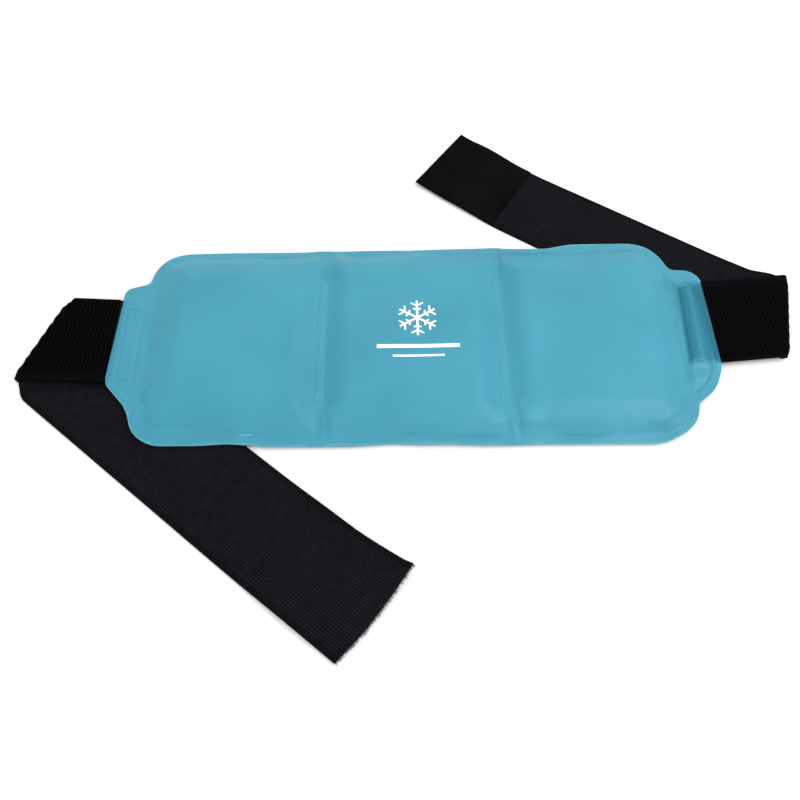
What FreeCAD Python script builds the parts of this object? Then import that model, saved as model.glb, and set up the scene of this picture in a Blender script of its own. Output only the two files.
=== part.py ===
import FreeCAD, Part
import math
import os

import Sketcher

# Cold compression wrap: a welded film pack with three gel chambers and an elastic strap at each end.
# Lengths in millimetres.  +X runs along the pack, +Y across it, +Z is up, away from the rest surface.
# The origin is the middle of the pack on that surface.  Each side is drawn pointing along +X in a local
# frame, and the left side is that drawing turned half a turn about Z.

SIZES = [
    ("pack_length", 279.0, "length of the film body, without the tabs"),
    ("pack_width", 121.0, "width of the film body"),
    ("pack_corner", 15.0, "radius of the body's four corners"),
    ("rim", 4.0, "flat welded rim round the chambers"),
    ("film", 0.4, "thickness of one film"),
    ("weld_level", 3.4, "height of the plane where front and back film meet"),
    ("gel_rise", 5.8, "gel above the weld plane"),
    ("crown_wall", 0.8, "upright part of a chamber's wall above the weld plane"),
    ("belly_wall", 0.1, "upright part of a chamber's wall below the weld plane"),
    ("strap_clear", 0.5, "gap between a strap and the side chamber that lies over it"),
    ("inner_corner", 7.0, "radius of the chambers' corners beside a seam"),
    ("seam_centre", 47.5, "seam's distance from the middle of the pack"),
    ("seam_strip", 3.0, "width of the welded strip that bends"),
    ("seam_free", 2.1, "edge of a side panel's film, from the seam's axis"),
    ("seam_wall", 3.6, "outside of a chamber's wall, from the seam's axis"),
    ("bead_length", 72.0, "length of the raised weld lines"),
    ("bead_gauge", 0.6, "width of one raised weld line"),
    ("bead_rise", 0.3, "height of the raised weld lines above the strip"),
    ("bead_offset", 0.7, "raised weld line, from the seam's axis"),
    ("tab_reach", 17.0, "tab, outwards from the end of the body"),
    ("tab_root", 15.0, "tab's width past each edge of the strap, where it joins the body"),
    ("tab_tip", 10.0, "the same at the tab's outer edge, before rounding"),
    ("tab_corner", 13.0, "radius of the tab's outer corners"),
    ("tab_notch", 5.0, "radius in the notch between tab and body"),
    ("tab_shift", 2.0, "tab's middle line above the pack's middle line"),
    ("pocket_margin", 2.5, "raised film over the strap's tail, past each edge of the strap"),
    ("pocket_start", 1.6, "inner end of that raised film, from the end of the body"),
    ("frame_start", 0.6, "inner side of the weld frame, from the end of the body"),
    ("frame_depth", 10.0, "weld frame's outer size along the pack"),
    ("frame_margin", 2.0, "each edge of the strap, past the weld frame's end"),
    ("frame_line", 1.2, "width of the weld frame's line"),
    ("frame_rise", 0.5, "height of the weld frame above the film"),
    ("strap_width", 50.0, "width of the elastic"),
    ("strap_gauge", 1.2, "thickness of the elastic"),
    ("tail_start", 2.6, "inner end of the strap's tail, from the end of the body"),
    ("fold_gap", 0.4, "each run's end, from the fold's axis"),
    ("tape_gauge", 0.7, "thickness of the hook tape on the short run"),
    ("tape_gap", 2.8, "hook tape's end, from the tab's edge"),
    ("left_run", 34.5, "left strap from the tab's edge to the middle of its fold"),
    ("left_fold_rise", 4.7, "middle of the left fold, above the middle line"),
    ("left_run_angle", 176.0, "direction of the left strap from tab to fold, from +X"),
    ("left_free_angle", -38.8, "direction of the left strap from fold to end"),
    ("left_free_length", 223.0, "left strap from fold to end"),
    ("left_strap_line", 2.0, "middle of the left strap in its tab"),
    ("right_run", 42.9, "right strap from the tab's edge to the middle of its fold"),
    ("right_fold_rise", 11.0, "middle of the right fold, above the middle line"),
    ("right_run_angle", 4.5, "direction of the right strap from tab to fold"),
    ("right_free_angle", 146.5, "direction of the right strap from fold to end"),
    ("right_free_length", 214.0, "right strap from fold to end"),
    ("right_strap_line", 7.0, "middle of the right strap in its tab"),
    ("patch_length", 52.0, "loop patch on the end of the right strap"),
    ("patch_margin", 1.5, "bare strap round the loop patch"),
    ("patch_gauge", 0.7, "thickness of the loop patch"),
]

doc = FreeCAD.newDocument("ColdCompressionWrap")
sheet = doc.addObject("Spreadsheet::Sheet", "Sizes")
for row, (alias, value, note) in enumerate(SIZES, start=1):
    sheet.set(f"A{row}", alias)
    sheet.set(f"B{row}", str(value))
    sheet.set(f"C{row}", note)
    sheet.setAlias(f"B{row}", alias)
doc.recompute()

# Carries a length across the pack from the row frame to a side's own frame, or a length along it back.
SIGN = {"left": "-1", "right": "1"}
nodes = []


def cells(text):
    """An expression with every size name led back to the sheet."""
    for alias in sorted((name for name, _, _ in SIZES), key=len, reverse=True):
        text = text.replace(f"<{alias}>", f"Sizes.{alias}")
    return text


def bind(target, path, text):
    target.setExpression(path, cells(text))


def turned(target, place):
    """Turns a body drawn towards +X to its own end of the pack."""
    half_turn = 180.0 if place == "left" else 0.0
    axis = FreeCAD.Vector(0, 0, 1)
    target.Placement = FreeCAD.Placement(FreeCAD.Vector(), FreeCAD.Rotation(axis, half_turn))
    return target


def keep(target, label):
    """Names a finished sub-part, which is then written to its own file."""
    target.Label = label
    nodes.append(target)
    return target


def new_body(name):
    return doc.addObject("PartDesign::Body", name)


def level_sketch(body, name, level, shift="0"):
    """An empty sketch on the body's own XY plane, lifted to a level and shifted across."""
    plane = next(f for f in body.Origin.OriginFeatures if f.Role == "XY_Plane")
    sketch = body.newObject("Sketcher::SketchObject", name)
    sketch.AttachmentSupport = [(plane, "")]
    sketch.MapMode = "FlatFace"
    bind(sketch, "AttachmentOffset.Base.z", level)
    bind(sketch, "AttachmentOffset.Base.y", shift)
    return sketch


def four_sides(sketch, near, far, near_width, far_width):
    """A four-sided outline, mirrored about the sketch's X axis, between two distances from its origin."""
    corners = [(10, -10), (30, -12), (30, 12), (10, 10)]
    for index, (x, y) in enumerate(corners):
        end = corners[(index + 1) % 4]
        sketch.addGeometry(
            Part.LineSegment(FreeCAD.Vector(x, y, 0), FreeCAD.Vector(end[0], end[1], 0))
        )
    for index in range(4):
        sketch.addConstraint(Sketcher.Constraint("Coincident", index, 2, (index + 1) % 4, 1))
    sketch.addConstraint(Sketcher.Constraint("Symmetric", 0, 1, 2, 2, -1))
    sketch.addConstraint(Sketcher.Constraint("Symmetric", 0, 2, 2, 1, -1))
    measures = [
        ("DistanceX", (-1, 1, 0, 1), 10.0, near),
        ("DistanceX", (-1, 1, 0, 2), 30.0, far),
        ("DistanceY", (3, 2, 3, 1), 20.0, near_width),
        ("DistanceY", (1, 1, 1, 2), 24.0, far_width),
    ]
    for kind, points, start, size in measures:
        number = sketch.addConstraint(Sketcher.Constraint(kind, *points, start))
        bind(sketch, f"Constraints[{number}]", size)
    return sketch


def centred_box(sketch, length, width):
    """A rectangle about the sketch's origin."""
    corners = [(-10, -8), (10, -8), (10, 8), (-10, 8)]
    for index, (x, y) in enumerate(corners):
        end = corners[(index + 1) % 4]
        sketch.addGeometry(
            Part.LineSegment(FreeCAD.Vector(x, y, 0), FreeCAD.Vector(end[0], end[1], 0))
        )
    for index in range(4):
        sketch.addConstraint(Sketcher.Constraint("Coincident", index, 2, (index + 1) % 4, 1))
    for index in (0, 2):
        sketch.addConstraint(Sketcher.Constraint("Horizontal", index))
    for index in (1, 3):
        sketch.addConstraint(Sketcher.Constraint("Vertical", index))
    sketch.addConstraint(Sketcher.Constraint("Symmetric", 0, 1, 1, 2, -1, 1))
    measures = [("DistanceX", (0, 1, 0, 2), 20.0, length), ("DistanceY", (1, 1, 1, 2), 16.0, width)]
    for kind, points, start, size in measures:
        number = sketch.addConstraint(Sketcher.Constraint(kind, *points, start))
        bind(sketch, f"Constraints[{number}]", size)
    return sketch


def pad(body, sketch, size, down=False):
    feature = body.newObject("PartDesign::Pad", f"{sketch.Name}_pad")
    feature.Profile = sketch
    bind(feature, "Length", size)
    feature.Reversed = down
    sketch.Visibility = False
    doc.recompute()
    return feature


def round_off(body, radius, wanted):
    """Rounds the edges of the body so far that a test picks."""
    base = body.Tip
    picked = [f"Edge{i}" for i, edge in enumerate(base.Shape.Edges, start=1) if wanted(edge)]
    if not picked:
        raise ValueError(f"{body.Name}: no edge to round with {radius}")
    feature = body.newObject("PartDesign::Fillet", f"{body.Name}_round_{len(body.Group)}")
    feature.Base = (base, picked)
    bind(feature, "Radius", radius)
    doc.recompute()
    return feature


def upright(edge, reach):
    """True for a vertical edge whose distance from the middle, along the pack, passes the test."""
    low, high = edge.BoundBox.ZMin, edge.BoundBox.ZMax
    flat = edge.BoundBox.XLength < 1e-6 and edge.BoundBox.YLength < 1e-6
    return flat and high - low > 1e-6 and reach(edge.BoundBox.XMin)


def at_height(edge, height):
    return abs(edge.BoundBox.ZMin - height) < 1e-5 and abs(edge.BoundBox.ZMax - height) < 1e-5


HALF = "<pack_length> / 2"
FOLD = {side: f"({HALF} + <tab_reach> + <{side}_run>)" for side in ("left", "right")}
FRAME_WIDTH = "(<strap_width> - 2 * <frame_margin>)"
POCKET_WIDTH = "(<strap_width> + 2 * <pocket_margin>)"
DEPTHS = {
    "middle": "<weld_level> - <film>",
    "left": "<weld_level> - <strap_gauge> - <strap_clear> - <film>",
    "right": "<weld_level> - <strap_gauge> - <strap_clear> - <film>",
}


def half_chamber(name, place, grown, amount, down):
    """One half of a chamber, above or below the weld plane, its wall grown outwards by a thickness."""
    body = new_body(name)
    sketch = level_sketch(body, f"{name}_outline", "<weld_level>")
    seam_side = f"<seam_wall> + <film> - {grown}"
    width = f"<pack_width> - 2 * <rim> - 2 * <film> + 2 * {grown}"
    if place == "middle":
        centred_box(sketch, f"2 * <seam_centre> - 2 * ({seam_side})", width)
    else:
        far = f"{HALF} - <rim> - <film> + {grown}"
        four_sides(sketch, f"<seam_centre> + {seam_side}", far, width, width)
    pad(body, sketch, amount, down)
    outer = sheet.get("pack_length") / 2 - 3 * sheet.get("rim")
    round_off(body, f"<inner_corner> + {grown}", lambda edge: upright(edge, lambda x: x < outer))
    if place != "middle":
        radius = f"<pack_corner> - <rim> - <film> + {grown}"
        round_off(body, radius, lambda edge: upright(edge, lambda x: x > outer))
    height = body.Shape.BoundBox.ZMin if down else body.Shape.BoundBox.ZMax
    wall = "<belly_wall>" if down else "<crown_wall>"
    rounding = f"{amount} - {wall}"
    round_off(body, rounding, lambda edge: at_height(edge, height))
    return turned(body, place)


def joined(name, shapes):
    fused = doc.addObject("Part::MultiFuse", name)
    fused.Shapes = shapes
    doc.recompute()
    return fused


def gel(place):
    upper = half_chamber(f"{place}_gel_upper", place, "0", "<gel_rise>", False)
    lower = half_chamber(f"{place}_gel_lower", place, "0", DEPTHS[place], True)
    return keep(joined(f"{place}_gel_body", [upper, lower]), f"{place}_gel")


def skin(place, down):
    """The solid outside of one film: rim plate, tab and chamber, still filled."""
    tag = "back" if down else "front"
    body = new_body(f"{place}_{tag}_plate")
    plate = level_sketch(body, f"{body.Name}_outline", "<weld_level>")
    if place == "middle":
        centred_box(plate, "2 * <seam_centre> - <seam_strip>", "<pack_width>")
        pad(body, plate, "<film>", down)
    else:
        four_sides(plate, "<seam_centre> + <seam_free>", HALF, "<pack_width>", "<pack_width>")
        pad(body, plate, "<film>", down)
        end = sheet.get("pack_length") / 2
        round_off(body, "<pack_corner>", lambda e: upright(e, lambda x: x > end - 1e-3))
        tab = level_sketch(body, f"{body.Name}_tab", "<weld_level>", f"{SIGN[place]} * <tab_shift>")
        four_sides(tab, f"{HALF} - <rim> / 2", f"{HALF} + <tab_reach>", "<strap_width> + 2 * <tab_root>",
                   "<strap_width> + 2 * <tab_tip>")
        pad(body, tab, "<film>", down)
        tip = end + sheet.get("tab_reach")
        round_off(body, "<tab_corner>", lambda e: upright(e, lambda x: x > tip - 1e-3))
        straight = sheet.get("pack_width") / 2 - sheet.get("pack_corner") - 1e-3
        round_off(body, "<tab_notch>", lambda e: abs(e.CenterOfMass.y) < straight
                  and upright(e, lambda x: abs(x - end) < 1e-3))
        shift = f"{SIGN[place]} * <{place}_strap_line>"
        pocket = level_sketch(body, f"{body.Name}_pocket", "<weld_level>", shift)
        four_sides(pocket, f"{HALF} + <pocket_start>", f"{HALF} + <tab_reach>", POCKET_WIDTH, POCKET_WIDTH)
        pad(body, pocket, "<strap_gauge> / 2 + <film>", down)
    depth = DEPTHS[place] if down else "<gel_rise>"
    bulge = half_chamber(f"{place}_{tag}_bulge", place, "<film>", f"{depth} + <film>", down)
    return joined(f"{place}_{tag}_skin", [turned(body, place), bulge])


def cut(name, base, tools):
    """Base with every tool taken out of it."""
    feature = doc.addObject("Part::Cut", f"{name}_cut")
    feature.Base = base
    feature.Tool = tools[0] if len(tools) == 1 else joined(f"{name}_tools", tools)
    doc.recompute()
    return feature


def slab(name, length, width, gauge, back, level, place):
    """A box laid along a direction: place is (x, y, angle), and back is how far it starts behind that point."""
    x, y, angle = place
    block = doc.addObject("Part::Box", name)
    bind(block, "Length", length)
    bind(block, "Width", width)
    bind(block, "Height", gauge)
    block.Placement = FreeCAD.Placement(
        FreeCAD.Vector(), FreeCAD.Rotation(FreeCAD.Vector(0, 0, 1), 30)
    )
    bind(block, "Placement.Rotation.Angle", f"({angle}) * 1deg")
    along = f"cos(({angle}) * 1deg)"
    across = f"sin(({angle}) * 1deg)"
    bind(block, "Placement.Base.x", f"{x} - ({back}) * {along} + ({width}) / 2 * {across}")
    bind(block, "Placement.Base.y", f"{y} - ({back}) * {across} - ({width}) / 2 * {along}")
    bind(block, "Placement.Base.z", level)
    return block


def beyond_fold(side, fold):
    """Everything outside a fold, up to the gap that leaves room for its bend."""
    x, y, crease = fold
    outwards = f"{crease} - {SIGN[side]} * 90"
    return slab(f"{side}_beyond", "150", "300", "30", "<fold_gap>", "-5", (x, y, outwards))


def strap(side):
    """The blocks of a strap: the short run with its tail, its hook tape and the free run."""
    middle = (f"{SIGN[side]} * {FOLD[side]}", f"<{side}_fold_rise>")
    crease = f"(<{side}_run_angle> + <{side}_free_angle>) / 2"
    beyond = beyond_fold(side, (*middle, crease))
    level = "<weld_level> - <strap_gauge> / 2"
    blocks = [
        ("run", f"<{side}_run> + <tab_reach> - <tail_start>", "<strap_gauge>", level),
        ("tape", f"<{side}_run> - <tape_gap>", "<tape_gauge>", f"{level} + <strap_gauge>"),
    ]
    made = []
    for part, reach, gauge, low in blocks:
        block = slab(f"{side}_{part}_block", f"{reach} + <strap_width>", "<strap_width>", gauge, reach, low,
                     (*middle, f"<{side}_run_angle>"))
        made.append(cut(f"{side}_{part}", block, [beyond]))
    free = slab(f"{side}_free_block", f"<{side}_free_length> + <strap_width>", "<strap_width>",
                "<strap_gauge>", "<strap_width>", "0", (*middle, f"<{side}_free_angle>"))
    made.append(cut(f"{side}_free", free, [beyond]))
    return made


def tab_frame(side):
    """The raised rectangular weld that holds the strap's tail between the films."""
    body = new_body(f"{side}_frame")
    level = "<weld_level> + <strap_gauge> / 2 + <film>"
    shift = f"{SIGN[side]} * <{side}_strap_line>"
    near = f"{HALF} + <pocket_start> + <frame_start>"
    outer = level_sketch(body, f"{side}_frame_outer", level, shift)
    four_sides(outer, near, f"{near} + <frame_depth>", FRAME_WIDTH, FRAME_WIDTH)
    pad(body, outer, "<frame_rise>")
    inner = level_sketch(body, f"{side}_frame_inner", level, shift)
    inner_width = f"{FRAME_WIDTH} - 2 * <frame_line>"
    four_sides(inner, f"{near} + <frame_line>", f"{near} + <frame_depth> - <frame_line>", inner_width,
               inner_width)
    pocket = body.newObject("PartDesign::Pocket", f"{side}_frame_window")
    pocket.Profile = inner
    pocket.Type = "ThroughAll"
    pocket.Midplane = True
    inner.Visibility = False
    doc.recompute()
    return keep(turned(body, side), f"{side}_tab_weld")


def seam(side):
    """The welded strip that bends between two chambers, with its pair of raised lines."""
    body = new_body(f"{side}_seam")
    strip = level_sketch(body, f"{side}_seam_strip", "<weld_level> - <film>")
    four_sides(strip, "<seam_centre> - <seam_strip> / 2", "<seam_centre> + <seam_strip> / 2", "<pack_width>",
               "<pack_width>")
    pad(body, strip, "2 * <film>")
    for name, sign in (("near", "-1"), ("far", "1")):
        line = level_sketch(body, f"{side}_seam_{name}", "<weld_level> + <film>")
        middle = f"<seam_centre> + {sign} * <bead_offset>"
        four_sides(line, f"{middle} - <bead_gauge> / 2", f"{middle} + <bead_gauge> / 2", "<bead_length>",
                   "<bead_length>")
        pad(body, line, "<bead_rise>")
    return keep(turned(body, side), f"{side}_seam_weld")


straps = {side: strap(side) for side in ("left", "right")}
for place in ("middle", "left", "right"):
    filling = gel(place)
    for down in (False, True):
        film = skin(place, down)
        tools = [filling] if place == "middle" else [filling, straps[place][0]]
        tag = "back" if down else "front"
        keep(cut(f"{place}_{tag}", film, tools), f"{place}_{tag}_film")

for side in ("left", "right"):
    seam(side)
    tab_frame(side)
    for part, label in zip(straps[side], ("strap_run", "hook_tape", "strap_free")):
        keep(part, f"{side}_{label}")

patch = slab("right_patch", "<patch_length>", "<strap_width> - 2 * <patch_margin>", "<patch_gauge>",
             "<patch_length> + <patch_margin> - <right_free_length>", "<strap_gauge>",
             (FOLD["right"], "<right_fold_rise>", "<right_free_angle>"))
keep(patch, "right_loop_patch")

doc.recompute()
faults = [item.Name for item in doc.Objects if {"Invalid", "Error"} & set(item.State)]
if faults:
    raise ValueError(f"these objects did not compute: {', '.join(faults)}")
os.makedirs("parts", exist_ok=True)
for node in nodes:
    if node.Shape.isNull() or not node.Shape.isValid():
        raise ValueError(f"{node.Label} is not a valid solid")
    node.Shape.exportStep(f"parts/{node.Label}.step")
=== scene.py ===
import math
from functools import partial

import bpy
import numpy as np
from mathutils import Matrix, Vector
from mathutils.geometry import delaunay_2d_cdt


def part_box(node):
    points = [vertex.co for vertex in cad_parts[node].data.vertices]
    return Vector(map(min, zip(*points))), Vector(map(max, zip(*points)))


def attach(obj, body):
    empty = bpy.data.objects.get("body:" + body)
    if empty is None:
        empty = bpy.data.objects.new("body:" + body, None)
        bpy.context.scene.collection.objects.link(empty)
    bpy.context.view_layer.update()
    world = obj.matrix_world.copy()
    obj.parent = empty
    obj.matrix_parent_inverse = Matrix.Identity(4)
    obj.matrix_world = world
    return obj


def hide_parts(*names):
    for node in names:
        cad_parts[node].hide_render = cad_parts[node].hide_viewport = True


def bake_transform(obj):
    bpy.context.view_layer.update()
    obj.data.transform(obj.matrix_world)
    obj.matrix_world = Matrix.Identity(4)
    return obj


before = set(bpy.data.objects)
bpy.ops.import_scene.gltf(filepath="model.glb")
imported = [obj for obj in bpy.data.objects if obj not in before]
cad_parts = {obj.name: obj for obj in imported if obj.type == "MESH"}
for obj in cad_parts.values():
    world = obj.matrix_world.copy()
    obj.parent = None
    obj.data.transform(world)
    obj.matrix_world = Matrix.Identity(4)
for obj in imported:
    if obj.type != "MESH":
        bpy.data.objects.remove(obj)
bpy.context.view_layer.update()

bl_info = {
    "name": "Cold Compression Wrap",
    "version": (1, 0, 0),
    "blender": (4, 5, 0),
    "location": "3D View > Sidebar > Wrap",
    "description": "Builds a welded gel pack with two elastic straps round its CAD frame",
    "category": "Add Mesh",
}

MM = 0.001
SIDES = ("left", "right")
SIGN = {"left": -1.0, "right": 1.0}


def lengths(node):
    """A node's lowest and highest corner, in millimetres."""
    low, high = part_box(node)
    return [c / MM for c in low], [c / MM for c in high]


# Levels and places that the CAD frame fixes, in millimetres.
SEAM = {side: sum(end[0] for end in lengths(f"{side}_seam_weld")) / 2 for side in SIDES}
WELD_LEVEL = lengths("middle_front_film")[0][2]
PACK_TOP = lengths("middle_front_film")[1][2]
MIDDLE_DEPTH = WELD_LEVEL - lengths("middle_back_film")[0][2]
SIDE_DEPTH = WELD_LEVEL - lengths("left_back_film")[0][2]
STRAP_GAUGE = lengths("left_strap_free")[1][2] - lengths("left_strap_free")[0][2]
STRAP_END = {"left": 223.0, "right": 214.0}  # from each strap's crease to its end


# ---------------------------------------------------------------- settings

def length_setting(name, description, value, **more):
    """A length that a user may change, its default in millimetres."""
    return bpy.props.FloatProperty(
        name=name, description=description, default=value * MM, unit="LENGTH", subtype="DISTANCE", **more)


def colour_setting(name, description, value):
    """A colour that a user may change."""
    return bpy.props.FloatVectorProperty(
        name=name, description=description, default=(*value, 1.0), size=4, subtype="COLOR", min=0, max=1)


class WrapFilmSettings(bpy.types.PropertyGroup):
    film: length_setting("Film", "Thickness of each film", 0.3, min=0.1 * MM)
    grain: length_setting("Grid", "Spacing of the film's mesh", 1.7)
    colour: colour_setting("Film colour", "Colour of the film", (0.035, 0.276, 0.378))
    # painted highlight along the film's rim and on the seams' raised lines
    painted_highlight_colour: colour_setting("Edge colour", "Colour of the film's cut edge", (0.17, 0.42, 0.52))
    # Colour of film over the black strap, also used as painted shade in the rim creases and on the left half
    # of the right tab's pillow
    strap_and_shade_colour: colour_setting(
        "Backed colour", "Colour of film that lies over the black strap", (0.014, 0.115, 0.170))
    print_colour: colour_setting("Print colour", "Colour of the printed sign", (0.93, 0.95, 0.96))


class WrapStrapSettings(bpy.types.PropertyGroup):
    width: length_setting("Strap width", "Width of the elastic", 50)
    left_free: length_setting("Left free run", "Left strap from its fold to its end", STRAP_END["left"])
    right_free: length_setting("Right free run", "Right strap from its fold to its end", STRAP_END["right"])
    wale: length_setting("Wale", "Spacing of the fine lengthwise ribs", 1.34)
    row: length_setting("Hook row", "Spacing of the rows across the hook tape", 2.05)
    colour: colour_setting("Elastic colour", "Colour of the elastic", (0.0038, 0.0037, 0.0050))
    tape_colour: colour_setting("Tape colour", "Colour of the hook tape", (0.0011, 0.0011, 0.0016))


class WrapStageSettings(bpy.types.PropertyGroup):
    lens: bpy.props.FloatProperty(name="Lens", description="Focal length on a 36 mm sensor", default=30.6)
    height: length_setting("Camera height", "Camera above the floor", 303)
    pitch: bpy.props.FloatProperty(
        name="Pitch", description="How far down the camera looks", default=math.radians(63),
        unit="ROTATION", subtype="ANGLE")
    floor_colour: colour_setting("Floor colour", "Colour of the floor", (0.93, 0.93, 0.93))


# ---------------------------------------------------------------- the pack's form

def ease(start, end, value):
    """0 before start, 1 after end, and smooth between them."""
    share = np.clip((value - start) / (end - start), 0, 1)
    return share * share * (3 - 2 * share)


def swell(distance, shoulder):
    """The height, from 0 to 1, that filled film reaches at a distance from its weld."""
    share = np.clip(distance / shoulder, 0, 1)
    return np.sin(share * math.pi / 2) ** 1.25


def unevenness(x, y, wave, seed):
    """A smooth ripple of about -1 to 1 that never repeats across the pack."""
    draw = np.random.default_rng(seed)
    total = np.zeros_like(x)
    for _ in range(7):
        angle, phase = draw.uniform(0, 2 * math.pi, 2)
        length = wave * draw.uniform(0.7, 1.5)
        total += np.sin((x * math.cos(angle) + y * math.sin(angle)) * 2 * math.pi / length + phase)
    return total / 3.6


def bump(distance, width):
    """A rounded ridge about distance 0."""
    return np.exp(-((distance / width) ** 2))


def rounded(corners, step=1.2):
    """A closed outline from corner points (x, y, radius), each corner an arc."""
    line = []
    count = len(corners)
    for index, (x, y, radius) in enumerate(corners):
        here = np.array([x, y])
        back = np.array(corners[index - 1][:2]) - here
        ahead = np.array(corners[(index + 1) % count][:2]) - here
        back /= np.linalg.norm(back)
        ahead /= np.linalg.norm(ahead)
        half = math.acos(np.clip(back @ ahead, -1, 1)) / 2
        reach = radius / math.tan(half)
        centre = here + (back + ahead) / np.linalg.norm(back + ahead) * radius / math.sin(half)
        first, last = here + back * reach - centre, here + ahead * reach - centre
        turn = math.atan2(first[0] * last[1] - first[1] * last[0], first @ last)
        pieces = max(2, int(abs(turn) * radius / step))
        for k in range(pieces + 1):
            a = turn * k / pieces
            spin = np.array([[math.cos(a), -math.sin(a)], [math.sin(a), math.cos(a)]])
            line.append(centre + spin @ first)
    return np.array(line)


def spaced(line, step, finer=None):
    """A closed line again, with points no more than a step apart, or a fine step where a test holds."""
    points = []
    for a, b in zip(line, np.roll(line, -1, axis=0)):
        parts = max(1, int(math.ceil(np.linalg.norm(b - a) / step)))
        points += [a + (b - a) * k / parts for k in range(parts)]
    points = np.array(points)
    if finer:
        fine_step, test = finer
        middle = (points + np.roll(points, -1, axis=0)) / 2
        close = test(middle[:, 0], middle[:, 1])
        fine = []
        for a, b, here in zip(points, np.roll(points, -1, axis=0), close):
            parts = max(1, int(math.ceil(np.linalg.norm(b - a) / fine_step))) if here else 1
            fine += [a + (b - a) * k / parts for k in range(parts)]
        points = np.array(fine)
    return points


# The film's outline, anticlockwise from the lower left corner: x, y and corner radius in millimetres.
# The soft left tab has pulled a little out of square, so its two corners differ.
OUTLINE = rounded([
    (-139.8, -57.0, 17), (-104.0, -57.5, 50), (-90.0, -57.0, 40), (-70.0, -58.8, 50), (-30.0, -59.2, 50),
    (-10.0, -58.3, 12), (4.0, -59.1, 12), (18.0, -59.2, 30), (36.0, -60.1, 30), (60.0, -60.0, 60),
    (90.0, -60.4, 60), (121.0, -60.8, 26), (134.6, -54.4, 22), (139.6, -47.2, 18), (141.3, -40.4, 3),
    (151.5, -32.5, 22), (157.4, -20.0, 22), (158.2, 40.4, 9), (142.4, 41.2, 4), (138.2, 51.4, 22),
    (128.4, 61.0, 20), (90.0, 60.6, 30), (77.0, 58.0, 20), (60.0, 58.6, 20), (45.0, 59.4, 20),
    (30.0, 59.3, 40), (0.0, 58.4, 60), (-24.0, 59.1, 40), (-60.0, 58.8, 60), (-139.2, 58.0, 20),
    (-139.2, 37.6, 3.5), (-152.3, 34.0, 4.5), (-154.4, -23.0, 10), (-142.8, -35.8, 10), (-139.4, -42.0, 7),
])
# Corners of the weld round each strap's end, and the rib that closes below the right one.
WINDOW = {
    "left": [(-149.0, 21.4), (-140.0, 19.4), (-140.2, -22.2), (-148.5, -21.4)],
    "right": [(144.1, 28.3), (151.2, 28.8), (149.4, -16.7), (140.9, -19.5)],
}
RIB = np.array([(149.0, 33.0), (152.6, 30.0), (153.8, 22.0), (152.8, -14.0), (152.0, -22.0), (149.6, -28.0),
                (146.6, -31.6), (143.6, -33.4)])


def segment_distance(x, y, a, b):
    """Distance from each point to the straight piece from a to b."""
    d = b - a
    t = np.clip(((x - a[0]) * d[0] + (y - a[1]) * d[1]) / max(d @ d, 1e-12), 0, 1)
    return np.hypot(x - a[0] - t * d[0], y - a[1] - t * d[1])


def edge_distance(x, y, line):
    """Distance from each point to a closed line, positive inside it."""
    best = np.full(x.shape, 1e9)
    within = np.zeros(x.shape, bool)
    for a, b in zip(line, np.roll(line, -1, axis=0)):
        best = np.minimum(best, segment_distance(x, y, a, b))
        if b[1] != a[1]:
            crosses = (a[1] > y) != (b[1] > y)
            within ^= crosses & (x < a[0] + (y - a[1]) * (b[0] - a[0]) / (b[1] - a[1]))
    return np.where(within, best, -best)


def line_distance(x, y, points):
    """Distance from each point to an open line."""
    return np.min([segment_distance(x, y, a, b) for a, b in zip(points[:-1], points[1:])], axis=0)


STRAP_LINE = {"left": 2.0, "right": 7.0}     # middle of each strap in its tab
BODY_END = 139.5                             # where the tabs begin
CHAMBER_X, CHAMBER_Y = 135.4, 56.3           # where the filled part ends
CHAMBER_CORNER = 13.0                        # radius of its corners
BEAD_HALF = 34.8                             # half the length of a seam's weld
SEAM_FLAT = 2.2                              # half the width of a seam's flat weld
FLANGE_HALF = 0.4                            # half the gauge where the two films lie together
PRESSED = 0.75                               # depth of the long creases along the rim
POCKET_RISE = 0.6                            # how far a strap's end lifts each film of its tab


def seam_middle(side, y):
    """Where a seam's weld runs: it wanders a little, and both welds have drawn towards the middle."""
    return SEAM[side] - 1.6 * SIGN[side] + 0.6 * np.sin(y / 30 + SIGN[side])


def chamber_share(x, y, shoulder, seam_shoulder):
    """How far the film stands off the weld plane, from 0 to 1, over the three chambers."""
    reach_x = np.abs(x) - (CHAMBER_X - CHAMBER_CORNER)
    reach_y = np.abs(y - 0.004 * x * np.sign(y)) - (CHAMBER_Y - CHAMBER_CORNER)
    outside = np.hypot(np.maximum(reach_x, 0), np.maximum(reach_y, 0))
    distance = CHAMBER_CORNER - outside - np.minimum(np.maximum(reach_x, reach_y), 0)
    distance = distance + 0.45 * unevenness(x, y, 46, 3)
    share = swell(distance, shoulder)
    for side in SIDES:
        across = np.abs(x - seam_middle(side, y))
        past = np.maximum(np.abs(y) - BEAD_HALF, 0)
        share = share * swell(np.hypot(across, past) - SEAM_FLAT, seam_shoulder)
        pinch = 0.34 * bump(across, 4.4) + 0.16 * bump(across, 11)
        share = share * (1 - pinch * ease(-4, 7, past))
    return share


def tab_place(x, y):
    """For points on the tabs: distance out from the body's end, and from the strap's middle line."""
    out = np.abs(x) - BODY_END
    shift = np.where(x < 0, STRAP_LINE["left"], STRAP_LINE["right"])
    return out, y - shift


def wave_of(x, y):
    """The slow wave of the whole pack, none where a strap holds it or where it rests."""
    free = ease(0, 14, np.abs(np.abs(x) - SEAM["right"])) * (1 - ease(120, 138, np.abs(x)))
    edge = ease(40, 60, np.abs(y))
    return 0.55 * free * edge * unevenness(x, y, 62, 11)


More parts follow.
